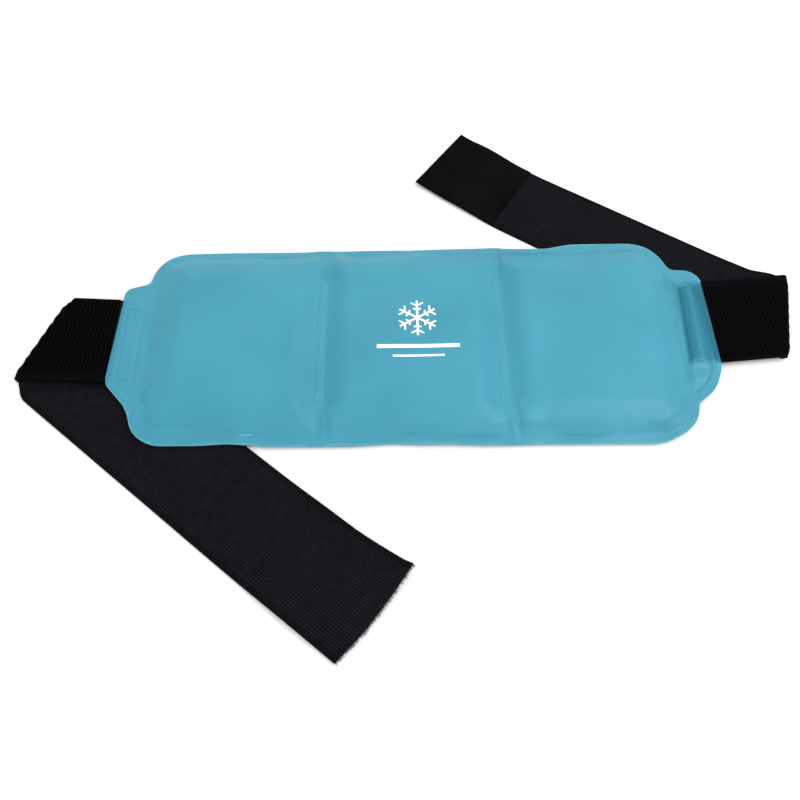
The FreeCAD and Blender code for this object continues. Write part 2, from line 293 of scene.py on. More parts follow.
def window_place(x, y, side):
    """For points by a tab's window: how far they lie past its sides, negative inside; its half width; 1 where
    they lie within its length; and 0 to 1 from its first side to its second."""
    (x0, y0), (x1, y1), (x2, y2), (x3, y3) = WINDOW[side]
    first = x0 + (y - y0) * (x3 - x0) / (y3 - y0)
    second = x1 + (y - y1) * (x2 - x1) / (y2 - y1)
    middle, half = (first + second) / 2, (second - first) / 2
    top, foot = (y0 + y1) / 2, (y2 + y3) / 2
    along = ease(foot - 0.8, foot + 1.2, y) * (1 - ease(top - 1.2, top + 0.8, y))
    return np.abs(x - middle) - half, half, along, (x - first) / (2 * half)


def pocket_share(x, y):
    """1 where a strap's end lies between the films of a tab."""
    out, off = tab_place(x, y)
    return (1 - ease(25.5, 28.5, np.abs(off))) * ease(1.2, 3.0, out)


def turned_place(x, y, middle_x, middle_y, angle):
    """For each point: how far it lies along a direction from a middle point, and to the left of it."""
    dx, dy = x - middle_x, y - middle_y
    along = dx * math.cos(angle) + dy * math.sin(angle)
    return along, dy * math.cos(angle) - dx * math.sin(angle)


def rim_crease(x, y, rim):
    """Long creases that run along the rim: 1 in the fold of one."""
    body = 1 - ease(130, 136, np.abs(x))
    wander = 4.8 + 0.8 * unevenness(x, y * 0.2, 60, 29)
    shown = ease(-0.3, 0.4, unevenness(x, y * 0.3, 70, 31)) * body * ease(0.5, 2, rim)
    second = ease(-0.5, 0.3, unevenness(x, y * 0.3, 50, 37)) * ease(-10, -40, y) * body
    return bump(rim - wander, 0.65) * shown + 0.6 * bump(rim - wander - 3.6, 0.9) * second


def droop(x, y):
    """How far the rim hangs towards the floor along the pack's two long edges."""
    return -1.3 * ease(49, 60, np.abs(y)) * (1 - ease(120, 136, np.abs(x)))


# Short creases near the corners: x, y, direction in degrees, height and width.
CREASES = [
    (-133.5, -36.5, 62, 0.75, 1.6), (-137.5, -32.0, 50, -0.5, 1.3), (-145.5, -29.5, -40, 0.45, 1.2),
    (-129.0, -43.0, 70, -0.4, 1.8), (-43.8, -50.5, 84, 0.45, 1.8), (47.6, -51.0, 104, 0.5, 1.9),
    (-96.0, -52.0, 8, 0.45, 1.6), (-118.0, -50.5, -14, 0.4, 1.5), (118.0, -51.0, 12, 0.4, 1.6),
    (137.0, 30.0, 84, -0.4, 1.4),
]
# Sharp feet where the film turns up beyond the ends of the seams: x, y, direction in degrees and rise.
LEDGES = [(-41.8, -48.5, 92, 1.0), (-40.4, 49.0, 92, 0.8), (49.4, 49.0, 88, 0.8), (51.4, -49.0, 97, 1.0)]
# Small dents pressed into the left tab.
DENTS = [(-140.4, -23.0), (-143.2, -23.4), (-148.2, 22.6)]


def chamber_front(x, y, rim):
    """The front film's height over the chambers and their rim."""
    share = chamber_share(x, y, 19.0, 13.0)
    rise = PACK_TOP - WELD_LEVEL - FLANGE_HALF
    height = WELD_LEVEL + FLANGE_HALF + rise * share + wave_of(x, y)
    height += 0.32 * share * unevenness(x, y, 40, 5)
    for side in SIDES:
        height += bump(x - seam_middle(side, y), 8.0) * (1 - share) * (1 - ease(40, 54, np.abs(y)))
    flank = (1 - ease(0.75, 1, share)) * ease(0.02, 0.2, share)
    height += 0.22 * ease(16, 0, 56 - np.abs(y)) * flank * unevenness(x, y * 0.3, 13, 7)
    height += 0.20 * ease(20, 0, 135 - np.abs(x)) * flank * unevenness(x * 0.3, y, 14, 8)
    # the puckered rim, more so along the near edge, and the long creases that lie in it
    near = 1 + 0.9 * ease(0, -40, y)
    pucker = ease(0.8, 3.0, rim) * (1 - ease(6.5, 10.5, rim)) * (1 - ease(136, 139, np.abs(x)))
    height += 0.26 * near * pucker * unevenness(x, y * 0.5, 24, 23)
    height += droop(x, y) - PRESSED * rim_crease(x, y, rim)
    inside = ease(0.3, 2.0, rim)
    for px, py, degrees, size, width in CREASES:
        along, across = turned_place(x, y, px, py, math.radians(degrees))
        height += size * bump(along, 9) * bump(across, width) * inside
    for px, py, degrees, rise in LEDGES:
        along, across = turned_place(x, y, px, py, math.radians(degrees))
        height += rise * bump(along, 8.5) * ease(-0.2, 1.7, -across) * bump(across, 8.0) * inside
    return height


def left_tab_relief(x, y):
    """The left tab lies flat, with a fine pressed line round the strap's end."""
    past, _, along, _ = window_place(x, y, "left")
    relief = 0.22 * (bump(past + 1.4, 0.8) - bump(past - 0.1, 0.5)) * along * (x < 0)
    for px, py in DENTS:
        relief -= 0.35 * bump(np.hypot(x - px, y - py), 0.6)
    return relief


def right_tab_relief(x, y, rim):
    """The right tab has risen: the strap's end makes a pillow inside its weld, with a rib round it."""
    out, off = tab_place(x, y)
    past, half, along, _ = window_place(x, y, "right")
    rib = line_distance(x, y, RIB)
    relief = 1.1 * ease(0.5, 4.0, rim) * ease(-2.0, 2.5, out) * (1 - ease(30, 37, np.abs(off + 3)))
    relief += 1.35 * np.sqrt(np.clip(1 - ((past + half) / half) ** 2, 0, 1)) * along
    relief += 0.65 * bump(rib, 0.8) - 0.55 * bump(past - 0.4, 0.9) * along
    relief -= 0.35 * bump(rib - 1.9, 0.8) * ease(0.6, 2.0, rim)
    return relief * (x > 0)


def front_height(x, y):
    """Top of the front film in millimetres."""
    rim = edge_distance(x, y, OUTLINE)
    pocket = POCKET_RISE * pocket_share(x, y) * ease(-0.2, 0.8, rim)
    return chamber_front(x, y, rim) + pocket + left_tab_relief(x, y) + right_tab_relief(x, y, rim)


def back_height(x, y):
    """Bottom of the back film in millimetres."""
    share = chamber_share(x, y, 10.0, 8.0)
    rim = edge_distance(x, y, OUTLINE)
    depth = np.where(np.abs(x) < SEAM["right"], MIDDLE_DEPTH, SIDE_DEPTH) - FLANGE_HALF
    flange = WELD_LEVEL - FLANGE_HALF
    height = flange - depth * share + wave_of(x, y) + droop(x, y) * (1 - share)
    height -= PRESSED * rim_crease(x, y, rim) * (1 - ease(0.1, 0.5, share))
    height += 0.10 * share * (1 - share) * unevenness(x, y, 14, 9)
    return np.maximum(height, flange - depth) - POCKET_RISE * pocket_share(x, y)


# ---------------------------------------------------------------- making meshes

def clear_selection():
    """Deselects everything."""
    for item in list(bpy.context.selected_objects):
        item.select_set(False)


def pick(piece):
    """Makes one piece the selected and active one."""
    clear_selection()
    piece.select_set(True)
    bpy.context.view_layer.objects.active = piece


def new_mesh(name, points, faces):
    """A mesh object from points in millimetres."""
    mesh = bpy.data.meshes.new(name)
    mesh.from_pydata([tuple(p * MM) for p in np.asarray(points, float)], [], [tuple(f) for f in faces])
    mesh.validate()
    piece = bpy.data.objects.new(name, mesh)
    bpy.context.scene.collection.objects.link(piece)
    return piece


def closed_up(piece, angle, doubles=False):
    """Turns a piece's faces outwards and shades it smooth, its doubles merged first if asked."""
    pick(piece)
    bpy.ops.object.mode_set(mode="EDIT")
    bpy.ops.mesh.select_all(action="SELECT")
    if doubles:
        bpy.ops.mesh.remove_doubles(threshold=1e-6)
    bpy.ops.mesh.normals_make_consistent(inside=False)
    bpy.ops.object.mode_set(mode="OBJECT")
    bpy.ops.object.shade_smooth_by_angle(angle=math.radians(angle))
    return piece


def give_shares(piece, name, values):
    """Stores one number for each of a piece's points."""
    layer = piece.data.attributes.new(name, "FLOAT", "POINT")
    layer.data.foreach_set("value", np.ravel(values).astype(np.float32))


def thickened(piece, name, thickness):
    """Gives an open sheet its thickness, away from its outer face."""
    solid = piece.modifiers.new(name, "SOLIDIFY")
    solid.thickness = thickness * MM
    solid.offset = -1
    bpy.ops.object.modifier_apply(modifier=solid.name)


def patch_of(line, step, finer=None):
    """A triangle net inside a closed line: points on a staggered grid, its border, and faces."""
    border = spaced(line, step * 0.7, finer)
    low, high = border.min(axis=0), border.max(axis=0)
    grids = [(step, None)]
    if finer:
        fine_step, test = finer
        grids = [(step, lambda x, y: ~test(x, y)), (fine_step, test)]
    inner = []
    for spacing, wanted in grids:
        rows = np.arange(low[1], high[1], spacing * 0.866)
        columns = np.arange(low[0], high[0], spacing)
        y, x = np.meshgrid(rows, columns, indexing="ij")
        x = (x + (np.arange(len(rows)) % 2)[:, None] * spacing / 2).ravel()
        y = y.ravel()
        if wanted:
            keep = wanted(x, y)
            x, y = x[keep], y[keep]
        keep = edge_distance(x, y, line) > spacing * 0.45
        inner += list(zip(x[keep], y[keep]))
    flat = [Vector((float(x), float(y))) for x, y in [*border, *inner]]
    count = len(border)
    edges = [(k, (k + 1) % count) for k in range(count)]
    verts, _, faces, *_ = delaunay_2d_cdt(flat, edges, [], 1, 1e-5)
    return np.array([[v.x, v.y] for v in verts]), [tuple(f) for f in faces]


def cut_line(line, low_x, high_x):
    """The part of a closed line between two upright lines, closed along them."""
    for sign, limit in ((1, low_x), (-1, high_x)):
        kept = []
        for a, b in zip(line, np.roll(line, -1, axis=0)):
            inside_a, inside_b = sign * (a[0] - limit) >= 0, sign * (b[0] - limit) >= 0
            if inside_a:
                kept.append(a)
            if inside_a != inside_b:
                t = (limit - a[0]) / (b[0] - a[0])
                kept.append(a + t * (b - a))
        line = np.array(kept)
    return line


def strap_and_painted_shade_share(x, y):
    """How much of the black strap shows through the front film, plus painted shade in the long rim creases
    and on the left half of the right tab's pillow.
    """
    out, off = tab_place(x, y)
    facing = 1 - ease(22.0, 26.5, np.abs(off))
    past, _, along, across = window_place(x, y, "right")
    # painted shade: the pillow's left half, which faces away from the light, is darkened
    pillow = ease(0.2, -0.6, past) * along * ease(0.9, 0.2, across)
    right = 0.38 * ease(1.0, 3.0, out) + 0.50 * ease(12.4, 14.6, out) + 0.30 * pillow
    left = 0.22 * ease(10.5, 12.0, out)
    # painted shade in the folds of the long rim creases
    creases = 0.22 * rim_crease(x, y, edge_distance(x, y, OUTLINE))
    return np.where(x > 0, right, left) * facing + creases


def film_sheet(name, line, height, film, top, step, finer=None):
    """One film over the part of the pack inside a line, with its real thickness."""
    net, faces = patch_of(line, step, finer)
    x, y = net[:, 0], net[:, 1]
    piece = new_mesh(name, np.column_stack([net, height(x, y)]), faces if top else [f[::-1] for f in faces])
    # mask for the strap under the film, and for painted shade in the rim creases and on the pillow's left
    # half
    give_shares(piece, "strap_and_painted_shade", strap_and_painted_shade_share(x, y))
    # mask for a painted highlight within 0.8 mm of the film's rim
    give_shares(piece, "edge", np.clip(1 - edge_distance(x, y, OUTLINE) / 0.8, 0, 1))
    pick(piece)
    thickened(piece, "film", film)
    bpy.ops.object.shade_smooth_by_angle(angle=math.radians(55))
    return piece


def closed_pad(name, line, upper, lower, step):
    """A closed pad between two heights inside a line."""
    net, faces = patch_of(line, step)
    count = len(net)
    top = np.column_stack([net, upper(net[:, 0], net[:, 1])])
    bottom = np.column_stack([net, lower(net[:, 0], net[:, 1])])
    sides = {}
    for f in faces:
        for k in range(len(f)):
            pair = (f[k], f[(k + 1) % len(f)])
            if pair[::-1] in sides:
                del sides[pair[::-1]]
            else:
                sides[pair] = True
    walls = [(b, a, a + count, b + count) for a, b in sides]
    below = [tuple(i + count for i in f[::-1]) for f in faces]
    piece = new_mesh(name, np.vstack([top, bottom]), [*faces, *below, *walls])
    pick(piece)
    bpy.ops.object.shade_smooth_by_angle(angle=math.radians(55))
    return piece


# ---------------------------------------------------------------- straps

FOLDS = {
    # fold centre, run direction, free direction and outward normal, in millimetres and degrees
    "left": ((-191.0, 4.7), 176.0, -38.8, 158.6),
    "right": ((199.4, 11.0), 4.5, 146.5, -14.5),
}
RUN_LEVEL = 3.4              # middle of the upper strand
FREE_LEVEL = 0.6             # middle of the lower strand
BEND = (RUN_LEVEL - FREE_LEVEL) / 2
LAP = 9.0                    # lower strand that the bent piece keeps
TAIL = {"left": 46.4, "right": 54.8}         # from each crease to the strap's end inside the tab
TAPE = {"left": 37.0, "right": 41.9}         # length of each hook tape
PATCH = 52.0                                 # length of the loop patch
CLEAR = {"left": 146.0, "right": 162.0}      # where each free run has come out from under the pack
ROUNDING = {"left": 2.4, "right": 0.8}       # how far the crease draws back at the far corner


def ray(degrees):
    """The direction at an angle in the floor's plane."""
    return np.array([math.cos(math.radians(degrees)), math.sin(math.radians(degrees))])


def turned_left(d):
    """A direction turned a quarter to the left."""
    return np.array([-d[1], d[0]])


def drawn_back(side, v):
    """How far the fold's two corners have drawn back, rounding its ends."""
    return ROUNDING[side] * ease(15, 25, v * SIGN[side]) ** 2 + 1.2 * ease(18, 25, -v * SIGN[side]) ** 2


def bent(side, s, v, h):
    """A place on the strap round its fold: s along it from the crease, v across, h above its middle."""
    centre, run, free, normal = FOLDS[side]
    d, n = ray(run), ray(normal)
    w, c = turned_left(d), turned_left(n)
    out = s * (d @ n) + v * (w @ n)
    along = s * (d @ c) + v * (w @ c)
    drawn = drawn_back(side, v)
    start, turn = -BEND - drawn, math.pi * BEND
    along = along - (d @ c) / (d @ n) * (turn - 2 * BEND) * ease(-BEND, -BEND + turn, out)
    angle = np.clip((out - start) / BEND, 0, math.pi)
    past = np.maximum(out - start - turn, 0)
    round_it = start + (BEND + h) * np.sin(angle) - past + 2 * drawn * ease(0, LAP * 0.9, past)
    away = np.where(out < start, out, round_it)
    level = FREE_LEVEL + BEND + (BEND + h) * np.cos(angle)
    aside = drawn_aside(side, np.where(past > 0, -away, 0.0))
    flat = [centre[k] + away * n[k] + along * c[k] + aside * turned_left(ray(free))[k] for k in (0, 1)]
    return np.stack([*flat, level], -1)


def bent_rows(side, sigma, v):
    """Rows across the strap that lean with the crease near it and stand square at the tail."""
    _, run, _, normal = FOLDS[side]
    d, n = ray(run), ray(normal)
    w = turned_left(d)
    lean = (w @ n) / (d @ n)
    square = w[0] / d[0]
    return sigma - v * (square + (lean - square) * ease(-34, -6, sigma))


def drawn_aside(side, gone):
    """How far the free strap's two edges have drawn aside past the crease, towards the pack's near side."""
    return -4.6 * ease(-1.0, 12.0, gone) if side == "left" else 4.3 * ease(3.0, 19.0, gone)


def laid(side, s, v, h):
    """A place on the strap's free run: s from the crease, v across, h above its middle."""
    centre, _, free, normal = FOLDS[side]
    d, n = ray(free), ray(normal)
    w = turned_left(d)
    end, clear, near = STRAP_END[side], CLEAR[side], -SIGN[side]
    gone = -s * (d @ n) - v * (w @ n)
    if side == "left":
        flare = 2.2 * ease(190, 224, s) + 1.2 * ease(216, 225, s) ** 2
        aside = drawn_aside(side, gone) * (1 - 0.15 * ease(150, 224, s)) + flare * ease(-25, 25, v)
        narrow, phase = 1.0, 1.2
        s = s + (0.9 * (1 - (v / 25) ** 2) - 1.1 * ease(5, 25, -v)) * ease(205, 223, s)
    else:
        aside = drawn_aside(side, gone) * (1 - 0.78 * ease(150, 214, s))
        narrow, phase = 1 - 0.034 * ease(LAP, LAP + 30, gone) - 0.035 * ease(192, 216, s), 0.2
        s = s + 2.0 * v / 25 * ease(150, 214, s)
    lift = 0.55 * ease(clear, clear + 22, s) * (1 + np.sin(s / 15.0 + phase))
    curl = ease(end - 17, end + 3, s) ** 2 * (1.5 + 1.1 * near * v / 25)
    edges = 0.35 * ease(clear, clear + 20, s) * (1 + np.sin(s / 9.0 + np.sign(v))) * ease(14, 25, np.abs(v))
    flat = np.array(centre) + s[..., None] * d + (v * narrow + aside)[..., None] * w
    level = FREE_LEVEL + lift + curl + edges + h
    return np.concatenate([flat, level[..., None]], -1)


def free_rows(side, sigma, v):
    """Rows across the free run that lean with the crease at its start."""
    _, _, free, normal = FOLDS[side]
    d, n = ray(free), ray(normal)
    lean = (turned_left(d) @ n) / -(d @ n)
    return sigma + v * lean * (1 - ease(8, 34, sigma))


def band(name, rows, columns, lean, place, over, under, crest=None):
    """A closed band: rows along it, columns across it, the heights of its two faces, and a mask for its
    painted highlight (and, on straps and tapes, painted shade).
    """
    sigma, v = np.meshgrid(rows, columns, indexing="ij")
    s = lean(sigma, v)
    points = np.concatenate([place(s, v, face(s, v)).reshape(-1, 3) for face in (over, under)])
    count = sigma.size
    index = np.arange(count).reshape(sigma.shape)
    a, b, c, d = index[:-1, :-1], index[1:, :-1], index[1:, 1:], index[:-1, 1:]
    quads = np.stack([a, b, c, d], -1).reshape(-1, 4).tolist()
    quads += (np.stack([d, c, b, a], -1).reshape(-1, 4) + count).tolist()
    rim = [*index[0, :], *index[1:, -1], *index[-1, -2::-1], *index[-2:0:-1, 0]]
    for here, there in zip(rim, rim[1:] + rim[:1]):
        quads.append([here, there, there + count, here + count])
    piece = new_mesh(name, points, quads)
    layer = piece.data.uv_layers.new(name="lay")
    spot = np.tile(np.stack([s.ravel(), v.ravel()], -1) * MM, (2, 1)).astype(np.float32)
    which = np.zeros(len(piece.data.loops), np.int32)
    piece.data.loops.foreach_get("vertex_index", which)
    layer.data.foreach_set("uv", spot[which].ravel())
    # mask for painted highlight on crests and painted shade in grooves
    if crest:
        give_shares(piece, "crest", np.tile(crest(s, v).ravel(), 2))
    return closed_up(piece, 60)


def rib_share(v, wale, half):
    """How near the top of a lengthwise rib a point lies, from 0 to 1, with a plain band at each edge."""
    ribs = np.abs(np.cos(math.pi * v / wale)) ** 1.2
    inner = ease(half - 2.0, half - 3.2, np.abs(v))
    return ribs * inner + 0.30 * (1 - inner)


def rounded_edge(v, half):
    """How much of its thickness a band keeps near its long edges."""
    near = np.clip((half - np.abs(v)) / 0.5, 0, 1)
    return 0.35 + 0.65 * np.sqrt(1 - (1 - near) ** 2)


# ---------------------------------------------------------------- finishes

def new_group(name, takes, gives):
    """An empty shader group: takes is (name, kind, default), gives is (name, kind)."""
    group = bpy.data.node_groups.new(name, "ShaderNodeTree")
    for label, kind, value in takes:
        socket = group.interface.new_socket(label, in_out="INPUT", socket_type=f"NodeSocket{kind}")
        if value is not None:
            socket.default_value = value
    for label, kind in gives:
        group.interface.new_socket(label, in_out="OUTPUT", socket_type=f"NodeSocket{kind}")
    return group, Nodes(group)


class Nodes:
    """Adds nodes to a tree: each call makes one, sets its inputs or links them, and returns it."""

    def __init__(self, tree):
        self.tree = tree

    def __call__(self, kind, inputs=(), **options):
        node = self.tree.nodes.new(f"ShaderNode{kind}" if not kind.startswith("NodeGroup") else kind)
        for key, value in options.items():
            setattr(node, key, value)
        self.feed(node, dict(inputs))
        return node

    def feed(self, node, inputs):
        """Links each input that is given a socket, and sets each that is given a value."""
        for key, value in inputs.items():
            if isinstance(value, bpy.types.NodeSocket):
                self.tree.links.new(value, node.inputs[key])
            else:
                node.inputs[key].default_value = value

    def maths(self, operation, a, b=0.0, clamp=False):
        return self("Math", {0: a, 1: b}, operation=operation, use_clamp=clamp).outputs[0]

    def mixed(self, share, a, b):
        return self("Mix", {0: share, 6: a, 7: b}, data_type="RGBA").outputs[2]

    def ranged(self, value, low, high, to_low, to_high):
        inputs = {0: value, 1: low, 2: high, 3: to_low, 4: to_high}
        return self("MapRange", inputs, clamp=True).outputs[0]

    def noise(self, vector, scale, detail, rough=0.5):
        inputs = {"Vector": vector, "Scale": scale, "Detail": detail, "Roughness": rough}
        return self("TexNoise", inputs).outputs[0]

    def effect(self, name, *values):
        """One of the shared effects, with its place and its own values."""
        return self("Group", enumerate(values), node_tree=group_of(name)).outputs

    def relief(self, height, strength, distance, under=None):
        inputs = {"Height": height, "Strength": strength, "Distance": distance * MM}
        if under:
            inputs["Normal"] = under
        return self("Bump", inputs).outputs[0]

    def share(self, name):
        return self("Attribute", attribute_name=name).outputs["Fac"]

    def object_place(self):
        return self("TexCoord").outputs["Object"]


def make_grain():
    """Fine film or yarn grain: a slow tone and a fine height."""
    group, add = new_group(
        "Grain",
        [("Vector", "Vector", None), ("Size", "Float", 900.0), ("Drift", "Float", 28.0)],
        [("Tone", "Float"), ("Fine", "Float")])
    place, size, drift, *_ = add("NodeGroupInput").outputs
    slow = add.noise(place, drift, 4.0, 0.55)
    add("NodeGroupOutput", {0: add.ranged(slow, 0.3, 0.7, 0.0, 1.0), 1: add.noise(place, size, 2.0, 0.6)})
    return group


def make_lint():
    """Scattered specks of dust and lint: a mask."""
    group, add = new_group(
        "Lint",
        [("Vector", "Vector", None), ("Size", "Float", 260.0), ("Amount", "Float", 0.06)],
        [("Specks", "Float")])
    place, size, amount, *_ = add("NodeGroupInput").outputs
    cells = add("TexVoronoi", {"Vector": place, "Scale": size, "Randomness": 1.0})
    spots = add.maths("LESS_THAN", cells.outputs["Distance"], amount)
    gate = add.ranged(add.noise(place, 45.0, 3.0), 0.52, 0.66, 0.0, 1.0)
    add("NodeGroupOutput", {0: add.maths("MULTIPLY", spots, gate)})
    return group


def make_weave():
    """Yarns that cross: fine threads along and across the strap, as a height and a mask."""
    group, add = new_group(
        "Weave",
        [("Vector", "Vector", None), ("Along", "Float", 900.0), ("Across", "Float", 1700.0),
         ("Loose", "Float", 0.25)],
        [("Height", "Float"), ("Tone", "Float")])
    place, along, across, loose, *_ = add("NodeGroupInput").outputs
    noise = add.noise(place, 220.0, 3.0)
    shift = add.maths("MULTIPLY", add.maths("MULTIPLY", noise, loose), 9.0)
    parts = add("SeparateXYZ", {0: place}).outputs
    yarns = [add.maths("SINE", add.maths("ADD", add.maths("MULTIPLY", part, pitch), shift))
             for part, pitch in ((parts[0], along), (parts[1], across))]
    crossed = add.maths("MULTIPLY", *yarns)
    height = add.maths("ADD", add.maths("MULTIPLY", crossed, 0.5), 0.5)
    add("NodeGroupOutput", {0: height, 1: noise})
    return group


def group_of(name):
    """A shared effect, made the first time that it is asked for."""
    makers = {"Grain": make_grain, "Lint": make_lint, "Weave": make_weave}
    return bpy.data.node_groups.get(name) or makers[name]()


def new_material(name):
    """A material, a maker of its nodes, and a way to feed its Principled shader."""
    material = bpy.data.materials.new(name)
    material.use_nodes = True
    add = Nodes(material.node_tree)
    return material, add, partial(add.feed, material.node_tree.nodes["Principled BSDF"])


def toned(colour, factor, extra=0.0):
    """A colour made darker or paler."""
    return [min(1.0, c * factor + extra) for c in colour[:3]] + [1.0]


def film_finish(name, colour, painted_highlight_colour, strap_and_painted_shade_colour):
    """Soft welded film: a satin blue skin with a painted highlight along its rim and on the seams' raised
    lines, darker over the black strap, and with painted shade in the rim creases and on the right pillow's
    left half.
    """
    material, add, shader = new_material(name)
    place, strap_and_painted_shade = add.object_place(), add.share("strap_and_painted_shade")
    grain = add.effect("Grain", place, 1300.0, 26.0)
    lint = add.effect("Lint", place, 210.0, 0.05)
    tone = add.mixed(grain["Tone"], toned(colour, 0.93), toned(colour, 1.05, 0.004))
    # darker over the black strap, with painted shade in the rim creases and on the right pillow's left half
    shaded = add.mixed(strap_and_painted_shade, tone, strap_and_painted_shade_colour)
    # painted highlight along the rim and on the seams' raised lines and end dots
    with_painted_highlight = add.mixed(add.ranged(add.share("edge"), 0.35, 0.85, 0.0, 0.45), shaded, painted_highlight_colour)
    shader({
        "Base Color": add.mixed(add.maths("MULTIPLY", lint[0], 0.08), with_painted_highlight, (0.75, 0.85, 0.9, 1.0)),
        "Roughness": add.ranged(grain["Tone"], 0.0, 1.0, 0.36, 0.46),
        "Normal": add.relief(grain["Fine"], 0.22, 0.12),
        "Specular IOR Level": add.ranged(strap_and_painted_shade, 0.0, 0.6, 0.42, 0.12),
    })
    return material


def gel_finish():
    """Cold gel: a clear, glossy blue mass with small bubbles."""
    material, add, shader = new_material("cold gel")
    grain = add.effect("Grain", add.object_place(), 420.0, 60.0)
    shader({
        "Base Color": add.mixed(grain["Tone"], (0.05, 0.30, 0.45, 1.0), (0.10, 0.42, 0.58, 1.0)),
        "Roughness": 0.18,
        "Normal": add.relief(grain["Fine"], 0.2, 0.2),
    })
    return material


def elastic_finish(name, colour):
    """Black elastic webbing: fine crossed yarns, a dull sheen and a little lint, with a painted highlight on
    its rib crests and painted shade in the grooves between them.
    """
    material, add, shader = new_material(name)
    place = add.object_place()
    weave = add.effect("Weave", add("UVMap", uv_map="lay").outputs[0], 5200.0, 5460.0, 0.3)
    lint = add.effect("Lint", place, 520.0, 0.09)
    grain = add.effect("Grain", place, 2600.0, 40.0)
    pale = toned(colour, 2.7)
    broken = add.ranged(weave["Tone"], 0.35, 0.65, 0.7, 1.15)
    # painted light: rib crests painted pale as a highlight, grooves painted dark as shade
    yarn = add.mixed(add.maths("MULTIPLY", add.share("crest"), broken, clamp=True), toned(colour, 0.12), pale)
    worn = add.mixed(add.maths("MULTIPLY", grain["Tone"], 0.25), yarn, pale)
    shader({
        "Base Color": add.mixed(add.maths("MULTIPLY", lint[0], 0.10), worn, (0.30, 0.30, 0.31, 1.0)),
        "Roughness": add.ranged(grain["Fine"], 0.3, 0.7, 0.70, 0.88),
        "Normal": add.relief(grain["Fine"], 0.25, 0.15, add.relief(weave["Height"], 0.55, 0.2)),
        "Specular IOR Level": 0.04,
    })
    return material


def hook_finish(colour):
    """Hook tape: rows of tiny black hooks between plain woven edges, with a painted highlight on the rows and
    raised yarns and painted shade between the rows.
    """
    material, add, shader = new_material("hook tape")
    weave = add.effect("Weave", add("UVMap", uv_map="lay").outputs[0], 7400.0, 6900.0, 0.5)
    lint = add.effect("Lint", add.object_place(), 640.0, 0.10)
    pale = toned(colour, 5.0)
    # painted light: crests of the hook rows painted pale as a highlight, the gaps between them dark as shade
    rows = add.mixed(add.ranged(add.share("crest"), 0.25, 0.95, 0.0, 1.0), toned(colour, 0.2), pale)
    # painted highlight on the raised yarns of the weave
    yarn = add.mixed(add.maths("MULTIPLY", weave["Height"], 0.15), rows, pale)
    shader({
        "Base Color": add.mixed(add.maths("MULTIPLY", lint[0], 0.10), yarn, (0.28, 0.28, 0.29, 1.0)),
        "Roughness": add.ranged(weave["Tone"], 0.3, 0.7, 0.52, 0.72),
        "Normal": add.relief(weave["Height"], 0.6, 0.2),
        "Specular IOR Level": 0.015,
    })
    return material


def print_finish(colour):
    """White ink: matt, with the slightest unevenness where it was pressed on."""
    material, add, shader = new_material("white print")
    grain = add.effect("Grain", add.object_place(), 1700.0, 90.0)
    shader({
        "Base Color": add.mixed(grain["Tone"], colour, toned(colour, 0.95)),
        "Roughness": 0.5,
        "Normal": add.relief(grain["Fine"], 0.12, 0.1),
    })
    return material


def floor_finish(colour):
    """A plain pale studio floor with a trace of tone."""
    material, add, shader = new_material("studio floor")
    grain = add.effect("Grain", add.object_place(), 60.0, 1.5)
    shader({
        "Base Color": add.mixed(grain["Tone"], colour, toned(colour, 0.985)),
        "Roughness": 0.9,
        "Specular IOR Level": 0.1,
    })
    return material


def finish_named(name, make, *values):
    """A finish, made the first time that a piece asks for it."""
    return bpy.data.materials.get(name) or make(*values)


def finish_with(piece, material, node=None):
    """Gives a piece its material, in a single slot, and hides the CAD node that it stands for."""
    piece.data.materials.clear()
    piece.data.materials.append(material)
    if node:
        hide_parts(node)


def film_material(settings, name="blue film", factor=1.0):
    """The film's finish, or a darker one."""
    return finish_named(name, film_finish, name, toned(settings.colour, factor), settings.painted_highlight_colour,
                        settings.strap_and_shade_colour)


def elastic_material(settings, name="black elastic", factor=1.0):
    """The elastic's finish, or a paler one."""
    return finish_named(name, elastic_finish, name, toned(settings.colour, factor))


def bend_at_fold(piece):
    """Bakes a piece's transform into its mesh."""
    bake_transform(piece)


# ---------------------------------------------------------------- operators

SEAM_HALF = 4.0          # half the width of the strip that bends at a seam
SEAM_LINES = (-1.25, 0.0, 1.25)  # fine raised lines, from the weld's middle
BEYOND = 400.0           # further out than any part of the film


def spans(gap, end):
    """Each chamber's low and high x, a gap away from the seams and out to an end."""
    left, right = SEAM["left"], SEAM["right"]
    return {"left": (-end, left - gap), "middle": (left + gap, right - gap), "right": (right + gap, end)}


class WRAP_OT_films(bpy.types.Operator):
    """Front and back film over each chamber and its tab"""
    bl_idname = "wrap.films"
    bl_label = "Films"

    def execute(self, context):
        settings = context.scene.wrap_film
        film, step = settings.film / MM, settings.grain / MM
        shine = film_material(settings)
        for part, (low, high) in spans(SEAM_HALF, BEYOND).items():
            line = cut_line(OUTLINE, low, high)
            finer = None if part == "middle" else (step * 0.42, lambda x, y: np.abs(x) > 134.0)
            for face, height, coarser in (("front", front_height, 1.0), ("back", back_height, 1.3)):
                top = face == "front"
                piece = film_sheet(f"{part}_{face}", line, height, film, top, step * coarser, finer)
                finish_with(piece, shine, f"{part}_{face}_film")
                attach(piece, f"{part}_panel")
        return {"FINISHED"}


